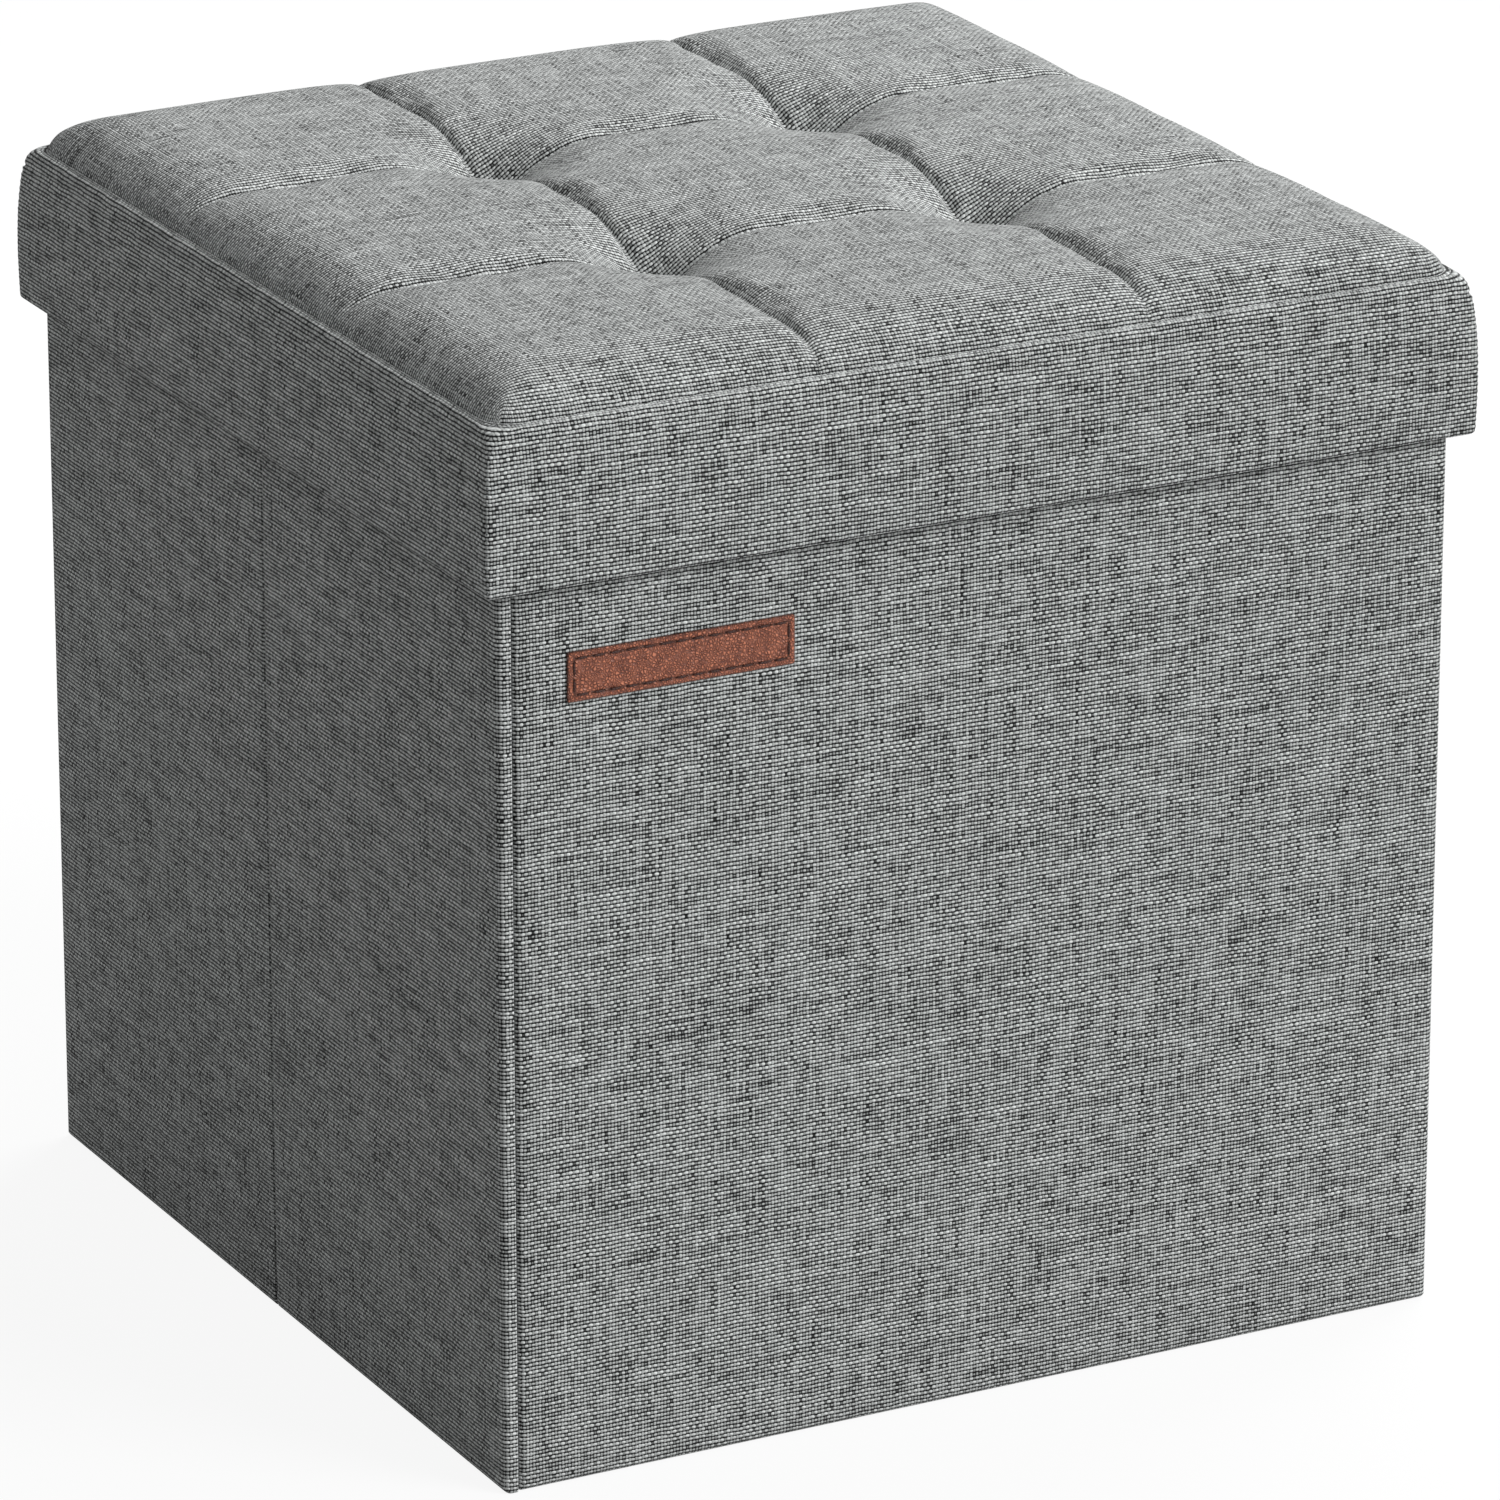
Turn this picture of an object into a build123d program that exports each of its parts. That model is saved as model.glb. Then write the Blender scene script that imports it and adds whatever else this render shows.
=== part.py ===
from build123d import *
import os

# Folding storage ottoman: a square body of six fabric-covered boards, hinged at fabric seams so
# that the two side walls crease inwards at mid depth, and a padded, tufted lid that lifts off.
# Millimetres. The origin is at floor level under the middle of the body; the front faces -Y.

# ---- driving dimensions: body ----
body_width = 366.0            # X, over the two side walls
body_depth = 366.0            # Y, over the front and back walls
wall_height = 345.0
wall_board_thickness = 3.4
cover_thickness = 0.8         # woven outer fabric
lining_thickness = 0.8        # non-woven inner fabric
seam_gap = 0.6                # sewn gap between neighbouring boards, in which the fabric bends
wall_edge_radius = 3.0        # outer edges, where the fabric is pulled round the board
bottom_sheet_thickness = 0.8
bottom_sheet_lift = 0.8       # the sewn bottom is clear of the floor

# ---- driving dimensions: lid ----
lid_clearance = 3.0           # between the body and the skirt's lining, on every side
lid_corner_radius = 3.0
lid_overlap = 21.0            # how far the lid's skirt reaches down past the wall tops
lid_board_thickness = 6.0
lid_seam_height = 57.0        # from the skirt's lower edge up to the top seam
cushion_rise = 15.0           # from the top seam up to the crown of the cushion
cushion_roll = 27.0           # how far in from the lid's side the cushion's roll reaches
rail_thickness = 2.4          # stiff strips inside the skirt
welt_width = 1.6
welt_proud = 0.6

# ---- driving dimensions: tufting ----
tuft_spacing = 126.0
tuft_depth = 18.0
tuft_mouth_radius = 30.0
tuft_floor_radius = 3.0
crease_depth = 7.0            # the two deep seams that run front to back through the tufts
channel_depth = 3.0           # the two shallow stitched lines that run side to side
tie_radius = 0.8
washer_radius = 9.0
washer_thickness = 1.0

# ---- driving dimensions: leather label ----
label_length = 85.0
label_height = 17.6
label_thickness = 1.2
label_side_margin = 25.3      # from the body's left edge
label_drop = 24.8             # from the lid's lower edge down to the label's top
label_corner_radius = 0.8
stitch_length = 4.2
stitch_width = 0.7
stitch_proud = 0.35
stitch_inset = 2.4
stitch_pitch = 6.2

# ---- worked out from the above ----
wall_thickness = cover_thickness + wall_board_thickness + lining_thickness
half_width = body_width / 2
half_depth = body_depth / 2
inner_half_width = half_width - wall_thickness
inner_half_depth = half_depth - wall_thickness
skirt_low = wall_height - lid_overlap
lid_board_low = wall_height + lining_thickness
lid_board_high = lid_board_low + lid_board_thickness
seam_height = skirt_low + lid_seam_height
crown_height = seam_height + cushion_rise
skirt_thickness = cover_thickness + rail_thickness + lining_thickness
board_inset = cover_thickness + rail_thickness
lid_half_width = half_width + lid_clearance + skirt_thickness
lid_half_depth = half_depth + lid_clearance + skirt_thickness

AXES = (Axis.X, Axis.Y, Axis.Z)
parts = {}


def block(low, high):
    """A box between two corners."""
    size = [b - a for a, b in zip(low, high)]
    middle = [(a + b) / 2 for a, b in zip(low, high)]
    return Pos(*middle) * Box(*size)


def lid_block(inset, z_low, z_high, radius=0.0):
    """A block set in from the lid's outline on every side, with rounded upright edges."""
    half_x = lid_half_width - inset
    half_y = lid_half_depth - inset
    solid = block((-half_x, -half_y, z_low), (half_x, half_y, z_high))
    if radius > 0:
        solid = fillet(solid.edges().filter_by(Axis.Z), radius)
    return solid


def layer(low, high, axis, sign, start, thickness, margin):
    """Corners of one layer of a wall, counted in from its outer face."""
    new_low = [a + margin for a in low]
    new_high = [b - margin for b in high]
    if sign < 0:
        new_low[axis] = low[axis] + start
        new_high[axis] = new_low[axis] + thickness
    else:
        new_high[axis] = high[axis] - start
        new_low[axis] = new_high[axis] - thickness
    return new_low, new_high


def soften(solid, axis, sign, corner_sign, radius):
    """Round the outer face's bottom edge and, where the wall ends in a corner, its upright edge."""
    outer = solid.faces().sort_by(AXES[axis])[-1 if sign > 0 else 0]
    edges = [outer.edges().sort_by(Axis.Z)[0]]
    if corner_sign:
        edges.append(outer.edges().sort_by(AXES[1 - axis])[-1 if corner_sign > 0 else 0])
    return fillet(edges, radius)


def add_wall(name, low, high, axis, sign, corner_sign=0):
    """One wall panel: a board and a lining, both inside a fabric cover that wraps its edges."""
    core_radius = wall_edge_radius - cover_thickness
    core_depth = wall_board_thickness + lining_thickness
    outside = soften(block(low, high), axis, sign, corner_sign, wall_edge_radius)
    core = block(*layer(low, high, axis, sign, cover_thickness, core_depth, cover_thickness))
    core = soften(core, axis, sign, corner_sign, core_radius)
    board = block(*layer(low, high, axis, sign, cover_thickness, wall_board_thickness, cover_thickness))
    lining_start = cover_thickness + wall_board_thickness
    lining = block(*layer(low, high, axis, sign, lining_start, lining_thickness, cover_thickness))
    parts[name + "_cover"] = outside - core
    parts[name + "_board"] = soften(board, axis, sign, corner_sign, core_radius)
    parts[name + "_lining"] = lining


def add_body():
    """The six walls and their fabric hinges. Front and back fit between the left halves and cover the right ones."""
    covered_x = inner_half_width - seam_gap
    covered_y = inner_half_depth - seam_gap
    for name, sign in (("front_wall", -1), ("back_wall", 1)):
        faces = sorted((sign * half_depth, sign * inner_half_depth))
        low = (-covered_x, faces[0], 0)
        add_wall(name, low, (half_width, faces[1], wall_height), 1, sign, 1)
    for side, side_sign in (("left", -1), ("right", 1)):
        across = sorted((side_sign * half_width, side_sign * inner_half_width))
        for part, end_sign in (("front", -1), ("rear", 1)):
            reach = half_depth if side == "left" else covered_y
            along = sorted((end_sign * seam_gap / 2, end_sign * reach))
            low = (across[0], along[0], 0)
            high = (across[1], along[1], wall_height)
            add_wall(f"{side}_{part}_wall", low, high, 0, side_sign, end_sign if side == "left" else 0)
        add_crease_hinge(side, side_sign)
        for wall, wall_sign in (("front", -1), ("back", 1)):
            add_corner_hinge(wall, wall_sign, side, side_sign)


def add_crease_hinge(side, side_sign):
    """The outer fabric that runs on through the crease between the two halves of a side wall."""
    across = sorted((side_sign * half_width, side_sign * (half_width - cover_thickness)))
    low = (across[0], -seam_gap / 2, wall_edge_radius)
    high = (across[1], seam_gap / 2, wall_height)
    parts[side + "_crease_hinge"] = block(low, high)


def add_corner_hinge(wall, wall_sign, side, side_sign):
    """The lining that joins two walls at an inner corner. It fills the gap at the covered wall's end."""
    across_gap = (inner_half_width - seam_gap, inner_half_width)
    along_gap = (inner_half_depth - seam_gap, inner_half_depth)
    across, along = across_gap, (inner_half_depth, inner_half_depth + lining_thickness)
    if side == "right":
        across, along = (inner_half_width, inner_half_width + lining_thickness), along_gap
    across = sorted(side_sign * value for value in across)
    along = sorted(wall_sign * value for value in along)
    low = (across[0], along[0], wall_edge_radius)
    high = (across[1], along[1], wall_height)
    parts[f"{wall}_{side}_corner_hinge"] = block(low, high)


def add_bottom():
    """The sewn fabric bottom, between the walls."""
    top = bottom_sheet_lift + bottom_sheet_thickness
    low = (-inner_half_width, -inner_half_depth, bottom_sheet_lift)
    parts["bottom_sheet"] = block(low, (inner_half_width, inner_half_depth, top))


def tuft_places():
    """The four points at which the cushion is pulled down."""
    half = tuft_spacing / 2
    return [(x, y) for x in (-half, half) for y in (-half, half)]


def rolled_bar(plane, half, length, inset, low, top):
    """A bar that crosses the lid, whose two upper edges roll down in quarter ellipses."""
    roll = cushion_roll - inset
    rise = cushion_rise - inset
    reach = half - inset
    shoulder = top - rise
    outline = EllipticalCenterArc((reach - roll, shoulder), roll, rise, 0, arc_size=90)
    outline += Line((reach - roll, top), (roll - reach, top))
    outline += EllipticalCenterArc((roll - reach, shoulder), roll, rise, 90, arc_size=90)
    outline += Polyline((-reach, shoulder), (-reach, low), (reach, low), (reach, shoulder))
    return extrude(make_face(plane * outline), length, both=True)


def cushion(inset, low, top, corner_radius):
    """A pad with rolled top edges, tuft hollows, deep seams and shallow stitched lines."""
    deep = min(low, top - 2 * cushion_rise)
    across = rolled_bar(Plane.XZ, lid_half_width, lid_half_depth, inset, deep, top)
    along = rolled_bar(Plane.YZ, lid_half_depth, lid_half_width, inset, deep, top)
    pad = across & along & lid_block(inset, low, top, corner_radius)
    for x, y in tuft_places():
        hollow = Cone(tuft_floor_radius, tuft_mouth_radius, tuft_depth)
        pad -= Pos(x, y, top - tuft_depth / 2) * hollow
    line_side = channel_depth * 2 ** 0.5
    crease_side = crease_depth * 2 ** 0.5
    for offset in (-tuft_spacing / 2, tuft_spacing / 2):
        lengthwise = Box(2 * lid_half_width, line_side, line_side)
        crosswise = Box(crease_side, 2 * lid_half_depth, crease_side)
        pad -= Pos(0, offset, top) * Rot(45, 0, 0) * lengthwise
        pad -= Pos(offset, 0, top) * Rot(0, 45, 0) * crosswise
    return pad


def add_lid_frame():
    """The lid's board, the four stiff strips round it, and the lining under them."""
    parts["lid_board"] = lid_block(board_inset, lid_board_low, lid_board_high)
    rail_low = skirt_low + cover_thickness
    rounded = lid_block(cover_thickness, rail_low, lid_board_high, lid_corner_radius - cover_thickness)
    rail_ring = rounded - lid_block(board_inset, rail_low, lid_board_high)
    side_reach = lid_half_depth - board_inset
    for name, sign in (("front", -1), ("back", 1)):
        along = sorted((sign * side_reach, sign * lid_half_depth))
        zone = block((-lid_half_width, along[0], rail_low), (lid_half_width, along[1], lid_board_high))
        parts[f"lid_{name}_rail"] = rail_ring & zone
    for name, sign in (("left", -1), ("right", 1)):
        across = sorted((0, sign * lid_half_width))
        low = (across[0], -side_reach, rail_low)
        parts[f"lid_{name}_rail"] = rail_ring & block(low, (across[1], side_reach, lid_board_high))
    lining = lid_block(board_inset, skirt_low, lid_board_low)
    parts["lid_lining"] = lining - lid_block(skirt_thickness, skirt_low, wall_height)


def add_lid_cushion():
    """The foam pad, its tufted top cover, the boxing round the sides and the welt in the seam."""
    core_radius = lid_corner_radius - cover_thickness
    foam_top = crown_height - cover_thickness
    parts["lid_foam"] = cushion(cover_thickness, lid_board_high, foam_top, core_radius)
    shell = cushion(0, lid_board_high, crown_height, lid_corner_radius)
    shell -= cushion(cover_thickness, lid_board_high, foam_top, core_radius)
    panel = lid_block(0, seam_height, crown_height)
    for x, y in tuft_places():
        panel += Pos(x, y, crown_height - tuft_depth) * Cylinder(tuft_mouth_radius, 2 * tuft_depth)
    parts["lid_top_cover"] = shell & panel
    boxing = lid_block(0, skirt_low, seam_height, lid_corner_radius)
    boxing -= lid_block(cover_thickness, skirt_low + cover_thickness, seam_height, core_radius)
    parts["lid_boxing"] = boxing - lid_block(board_inset, skirt_low, seam_height)
    welt_radius = lid_corner_radius + welt_proud
    welt = lid_block(-welt_proud, seam_height - welt_width, seam_height, welt_radius)
    parts["lid_welt"] = welt - lid_block(0, skirt_low, crown_height, lid_corner_radius)


def add_tufting():
    """Each tuft's tie runs from a washer under the board up to the top cover."""
    tie_top = crown_height - cover_thickness - tuft_depth
    ties = []
    washers = []
    for x, y in tuft_places():
        tie_length = tie_top - lid_board_low
        ties.append(Pos(x, y, lid_board_low + tie_length / 2) * Cylinder(tie_radius, tie_length))
        washer = Cylinder(washer_radius, washer_thickness)
        washers.append(Pos(x, y, lid_board_low + washer_thickness / 2) * washer)
    for tie, washer in zip(ties, washers):
        parts["lid_board"] -= washer
        parts["lid_board"] -= tie
        parts["lid_foam"] -= tie
    parts["tuft_ties"] = Compound(children=ties)
    parts["tuft_washers"] = Compound(children=[w - t for w, t in zip(washers, ties)])


def add_label():
    """The bare leather label on the front wall and the stitches round its edge."""
    left = -half_width + label_side_margin
    top = skirt_low - label_drop
    face = -half_depth - label_thickness
    low = (left, face, top - label_height)
    label = block(low, (left + label_length, -half_depth, top))
    parts["leather_label"] = fillet(label.edges().filter_by(Axis.Y), label_corner_radius)
    middle = (left + label_length / 2, face - stitch_proud / 2, top - label_height / 2)
    stitches = []
    for size, other, turn in ((label_length, label_height, 0), (label_height, label_length, 90)):
        run = size - 2 * stitch_inset
        count = round(run / stitch_pitch)
        pitch = run / count
        offset = other / 2 - stitch_inset
        for index in range(count):
            along = (index + 0.5) * pitch - run / 2
            for side in (-offset, offset):
                stitch = Box(stitch_length, stitch_proud, stitch_width)
                stitches.append(Pos(*middle) * Rot(0, turn, 0) * Pos(along, 0, side) * stitch)
    parts["label_stitching"] = Compound(children=stitches)


add_body()
add_bottom()
add_lid_frame()
add_lid_cushion()
add_tufting()
add_label()

os.makedirs("parts", exist_ok=True)
for node, shape in parts.items():
    export_step(shape, os.path.join("parts", node + ".step"))
print(len(parts), "nodes, total height", crown_height)
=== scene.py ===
"""Folding storage ottoman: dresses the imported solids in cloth, leather and thread.

The body is six cloth-covered boards round a sewn bottom. The lid is a board with a stiff skirt, a tufted
foam cushion and a sewn cloth cover. Sizes are in metres unless a name ends in _mm, and a rate is per metre.
"""
import logging
import math
from dataclasses import dataclass
from enum import Enum
from functools import partial
from typing import Callable, Iterable

import bmesh
import bpy
from mathutils import Matrix, Vector, noise
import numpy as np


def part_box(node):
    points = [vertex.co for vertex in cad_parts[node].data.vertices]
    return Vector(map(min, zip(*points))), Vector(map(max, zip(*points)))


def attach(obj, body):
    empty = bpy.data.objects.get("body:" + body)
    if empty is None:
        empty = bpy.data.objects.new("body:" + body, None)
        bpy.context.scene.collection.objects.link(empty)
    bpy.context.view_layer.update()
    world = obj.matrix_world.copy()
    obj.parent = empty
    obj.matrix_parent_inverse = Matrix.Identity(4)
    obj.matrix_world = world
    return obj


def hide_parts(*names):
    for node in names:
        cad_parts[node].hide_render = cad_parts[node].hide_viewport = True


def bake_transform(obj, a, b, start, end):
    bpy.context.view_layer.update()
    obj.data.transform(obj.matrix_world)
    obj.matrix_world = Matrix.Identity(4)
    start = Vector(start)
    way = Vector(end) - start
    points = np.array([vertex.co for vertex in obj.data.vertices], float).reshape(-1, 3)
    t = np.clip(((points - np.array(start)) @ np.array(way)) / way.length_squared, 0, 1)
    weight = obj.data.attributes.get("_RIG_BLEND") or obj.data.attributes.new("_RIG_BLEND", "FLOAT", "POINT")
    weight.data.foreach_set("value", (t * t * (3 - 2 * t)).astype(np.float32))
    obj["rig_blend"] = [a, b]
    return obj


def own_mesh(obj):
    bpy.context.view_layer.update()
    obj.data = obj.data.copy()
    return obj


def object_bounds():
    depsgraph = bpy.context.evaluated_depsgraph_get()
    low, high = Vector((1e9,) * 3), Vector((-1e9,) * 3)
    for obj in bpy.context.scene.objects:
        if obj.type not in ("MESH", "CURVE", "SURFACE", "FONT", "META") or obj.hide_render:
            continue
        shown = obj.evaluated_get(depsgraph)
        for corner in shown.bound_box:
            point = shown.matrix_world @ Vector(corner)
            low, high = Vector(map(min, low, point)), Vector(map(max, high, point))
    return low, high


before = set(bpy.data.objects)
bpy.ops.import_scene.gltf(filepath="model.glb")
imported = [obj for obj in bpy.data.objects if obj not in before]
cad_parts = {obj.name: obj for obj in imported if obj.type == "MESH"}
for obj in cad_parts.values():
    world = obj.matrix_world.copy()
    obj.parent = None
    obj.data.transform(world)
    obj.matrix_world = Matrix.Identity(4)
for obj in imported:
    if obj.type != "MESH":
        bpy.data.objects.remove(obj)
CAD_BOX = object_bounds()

LOG = logging.getLogger("ottoman")
MM = 0.001
TINY = 0.001 * MM
CLOTH_UV = "cloth"
WHITE = "#FFFFFF"
# A Mix node takes two colours at inputs 6 and 7 and gives their mix at output 2.
COLOURS = {"out": 2, "data_type": "RGBA"}
SOFT_STEP = {"interpolation_type": "SMOOTHSTEP"}
# A wave texture of scale 1 repeats about every 0.3 m.
WAVE_PERIOD = 0.3
CORNER_SEGMENTS = 8
# Cloth that leans in further than this gets rounder at the lid's corners, by this many times the rest.
ROUNDING_FROM = 1.6 * MM
ROUNDING = 2.8

Shape = bmesh.types.BMesh
Piece = bpy.types.Object
Socket = bpy.types.NodeSocket
AddNode = Callable[..., Socket]
Pair = tuple[float, float]


class Side(Enum):
    """Which way a face of the ottoman looks."""

    FRONT = (0, -1)
    BACK = (0, 1)
    LEFT = (-1, 0)
    RIGHT = (1, 0)

    @property
    def outward(self) -> Vector:
        """The face's outward direction."""
        return Vector((*self.value, 0))

    @property
    def axis(self) -> int:
        """The index of the axis that the face is square to."""
        return 0 if self.value[0] else 1

    @property
    def sign(self) -> int:
        """The sign of the outward direction on that axis."""
        return self.value[self.axis]


class Slot(Enum):
    """The record's material slots that pieces take their finish from."""

    LINEN = "linen_weave"
    LINING = "nonwoven_lining"
    BOARD = "panel_board"
    FOAM = "cushion_foam"
    LEATHER = "label_leather"
    LABEL_THREAD = "label_thread"
    TUFT_CORD = "tuft_cord"
    WASHER = "washer_plastic"


# ---------------------------------------------------------------- finishes


def linear(code: str) -> tuple[float, float, float, float]:
    """Turns an sRGB hex colour to linear.

    Args:
        code: The colour as #RRGGBB.

    Returns:
        Linear red, green, blue and an alpha of 1.
    """
    parts = [int(code[i:i + 2], 16) / 255 for i in (1, 3, 5)]
    red, green, blue = [p / 12.92 if p <= 0.04045 else ((p + 0.055) / 1.055) ** 2.4 for p in parts]
    return (red, green, blue, 1.0)


def add_node(tree: bpy.types.NodeTree, kind: str, inputs: dict | Iterable = (), out: int | str = 0,
             **settings: object) -> Socket | None:
    """Adds one node with its settings, values and links.

    Args:
        tree: The node tree that gets the node.
        kind: The node's type, without the leading "ShaderNode".
        inputs: A value or a feeding socket for each input, in order, or by name or number.
        out: The name or number of the output that is wanted.
        settings: The node's own properties.

    Returns:
        That output, or None from a node that has none.
    """
    node = tree.nodes.new("ShaderNode" + kind)
    for name, value in settings.items():
        setattr(node, name, value)
    for key, value in inputs.items() if isinstance(inputs, dict) else enumerate(inputs):
        if isinstance(value, Socket):
            tree.links.new(value, node.inputs[key])
        else:
            node.inputs[key].default_value = value
    return node.outputs[out] if node.outputs else None


def shades(low: str, high: str) -> dict[int, tuple[float, ...]]:
    """Gives the two ends of a colour mix from their hex colours."""
    return {6: linear(low), 7: linear(high)}


def limits(edge: Pair) -> dict[str, float]:
    """Gives the two ends of the range that a Map Range node stretches to 0 to 1."""
    return {"From Min": edge[0], "From Max": edge[1]}


@dataclass(frozen=True)
class Finish:
    """A finish: its slot, and the flat values of its surface shader."""

    slot: Slot
    name: str
    roughness: float = 0.8
    specular: float = 0.3
    sheen: float = 0.0
    relief_mm: float = 0.1

    def surface(self) -> bpy.types.Material:
        """Builds the material round the colour and height that paint() draws.

        Returns:
            The material.
        """
        material = bpy.data.materials.new(self.name)
        material.use_nodes = True
        material.node_tree.nodes.clear()
        add = partial(add_node, material.node_tree)
        colour, height = self.paint(add)
        relief = add("Bump", {"Distance": self.relief_mm * MM, "Height": height})
        shader = add("BsdfPrincipled", {"Base Color": colour, "Normal": relief, "Roughness": self.roughness,
                                        "Specular IOR Level": self.specular, "Sheen Weight": self.sheen})
        add("OutputMaterial", {"Surface": shader})
        return material

    def paint(self, add: AddNode) -> tuple[Socket, Socket]:
        """Draws the finish's colour and height. Each finish has its own."""
        raise NotImplementedError


@dataclass(frozen=True)
class LinenWeave(Finish):
    """Linen-look polyester, plain woven from slubby yarn: matt, with pale weft rows and painted shade in the
    pits between.
    """

    relief_mm: float = 0.5
    weft_light: str = "#EDF0EF"
    weft_dark: str = "#ADB0AF"
    warp_light: str = "#D0D3D2"
    warp_dark: str = "#7A7D7C"
    # The near-black pit colour is painted shade in the gaps between the threads.
    pit: str = "#0A0B0B"
    pit_shade_edge: Pair = (0.36, 0.6)
    warp_pitch_mm: float = 1.22
    weft_pitch_mm: float = 1.43
    wander_mm: float = 0.45
    wander_run_mm: float = 9.09
    slub_mm: float = 23.8
    slub_edge: Pair = (0.33, 0.67)
    slub_share: float = 0.75
    row_step: float = 3.71
    warp_seed: float = 9.0
    weft_rise: Pair = (0.34, 0.85)
    warp_rise: Pair = (-0.5, 0.4)
    warp_height: float = 0.85
    thickness: Pair = (0.66, 0.51)

    def paint(self, add: AddNode) -> tuple[Socket, Socket]:
        """Draws the two sets of threads over the cloth's own flat coordinates.

        Args:
            add: Adds a node to the material.

        Returns:
            The colour and the height.
        """
        flat = add("UVMap", uv_map=CLOTH_UV)
        # The rows wander by part of a thread, because the yarn is uneven.
        drift = add("TexNoise", {"Vector": flat, "Scale": 1 / (self.wander_run_mm * MM)}, "Color")
        centred = add("VectorMath", (drift, (0.5, 0.5, 0.5)), operation="SUBTRACT")
        shift = add("VectorMath", {0: centred, "Scale": 2 * self.wander_mm * MM}, operation="SCALE")
        place = add("SeparateXYZ", (add("VectorMath", (flat, shift), operation="ADD"),)).node.outputs
        counts = [add("Math", (place[i], pitch * MM), operation="DIVIDE")
                  for i, pitch in enumerate((self.warp_pitch_mm, self.weft_pitch_mm))]
        column, row = [add("Math", (count,), operation="FLOOR") for count in counts]
        turns = [add("Math", (count, math.pi), operation="MULTIPLY") for count in counts]
        across, along = [add("Math", (turn,), operation="SINE") for turn in turns]
        # Each crossing is a little fatter or thinner than the next one along its thread.
        crossing = add("CombineXYZ", (column, row))
        chance = add("SeparateXYZ", (add("TexWhiteNoise", {"Vector": crossing}, "Color"),)).node.outputs
        weft_tone = self.yarn(add, place[0], row, 0.0, chance[0])
        warp_tone = self.yarn(add, place[1], column, self.warp_seed, chance[1])
        weft = self.thread(add, along, across, self.weft_rise, weft_tone)
        warp = add("Math", (self.thread(add, across, along, self.warp_rise, warp_tone), self.warp_height),
                   operation="MULTIPLY")
        weft_colour = add("Mix", {0: weft_tone, **shades(self.weft_dark, self.weft_light)}, **COLOURS)
        warp_colour = add("Mix", {0: warp_tone, **shades(self.warp_dark, self.warp_light)}, **COLOURS)
        on_top = add("Math", (weft, warp), operation="GREATER_THAN")
        yarn = add("Mix", {0: on_top, 6: warp_colour, 7: weft_colour}, **COLOURS)
        height = add("Math", (weft, warp), operation="MAXIMUM")
        # Where no thread covers the cloth, the pit colour paints shade into the gaps.
        covered = add("MapRange", {"Value": height, **limits(self.pit_shade_edge)}, **SOFT_STEP)
        return add("Mix", {0: covered, 6: linear(self.pit), 7: yarn}, **COLOURS), height

    def thread(self, add: AddNode, width: Socket, run: Socket, rise: Pair, tone: Socket) -> Socket:
        """Adds the height of one set of threads, which ride over and under the other set.

        Args:
            add: Adds a node to the material.
            width: The wave across the threads.
            run: The wave along the threads.
            rise: Half the rise, positive for the set that is on top in the first cell, and how much of
                the room between threads is open, near 0 for threads that touch.
            tone: The yarn's tone, which its thickness follows.

        Returns:
            The height, from 0 to about 1.
        """
        lift, taper = rise
        side = add("Math", (run, add("Math", (width,), operation="SIGN")), operation="MULTIPLY")
        wave = add("Math", (side, lift, 1 - abs(lift)), operation="MULTIPLY_ADD")
        body = add("Math", (add("Math", (width,), operation="ABSOLUTE"), taper), operation="POWER")
        thick = add("Math", (tone, *self.thickness), operation="MULTIPLY_ADD")
        return add("Math", (add("Math", (body, wave), operation="MULTIPLY"), thick), operation="MULTIPLY")

    def yarn(self, add: AddNode, run: Socket, row: Socket, seed: float, chance: Socket) -> Socket:
        """Adds a tone that changes slowly along each thread and jumps from one thread to the next.

        Args:
            add: Adds a node to the material.
            run: The distance along the thread, in metres.
            row: The thread's number.
            seed: A number that sets the two sets of threads apart.
            chance: A number of each crossing's own, from 0 to 1.

        Returns:
            The tone, from 0 to 1.
        """
        slow = add("Math", (run, 1 / (self.slub_mm * MM)), operation="MULTIPLY")
        step = add("Math", (row, self.row_step), operation="MULTIPLY")
        place = add("CombineXYZ", (slow, step, seed))
        tone = add("TexNoise", {"Vector": place, "Scale": 1.0, "Detail": 4.0, "Roughness": 0.8})
        slub = add("MapRange", {"Value": tone, **limits(self.slub_edge), "To Max": self.slub_share})
        return add("Math", (chance, 1 - self.slub_share, slub), operation="MULTIPLY_ADD")


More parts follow.
